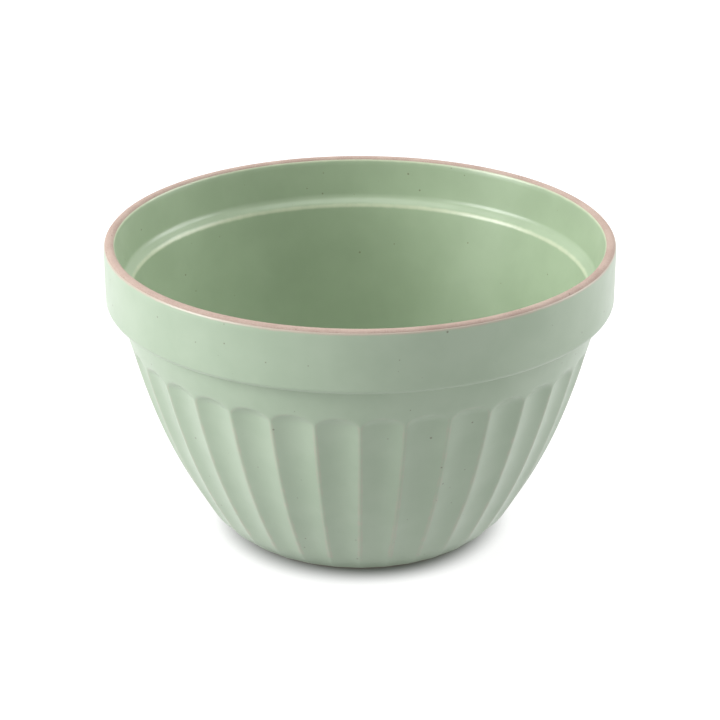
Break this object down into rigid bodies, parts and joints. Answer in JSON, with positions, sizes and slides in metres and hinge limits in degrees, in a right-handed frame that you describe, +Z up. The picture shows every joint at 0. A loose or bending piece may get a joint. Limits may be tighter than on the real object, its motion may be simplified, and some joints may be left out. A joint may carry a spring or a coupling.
{
  "type": "mixing bowl",
  "caption": "Deep stoneware mixing bowl with a plain collar, a ledge inside it, a bare lip and wide arched flutes down the wall to a small foot.",
  "frame": {"origin": "centre of the base, on the plane the foot ring rests on", "axes": "+Z up the bowl's axis, from the foot to the open rim"},
  "size_m": [0.25, 0.25, 0.15],
  "materials": {
    "bare_stoneware": "bare fired stoneware, fine matte grain, pinkish tan",
    "outer_glaze": "satin sage-green glaze with sparse dark specks, thin and tan along the edges",
    "inner_glaze": "semi-gloss sage-green glaze"
  },
  "bodies": {
    "root": {"stoneware_body": "bare_stoneware", "outer_glaze": "outer_glaze", "inner_glaze": "inner_glaze", "foot_glaze": "outer_glaze"}
  },
  "joints": []
}
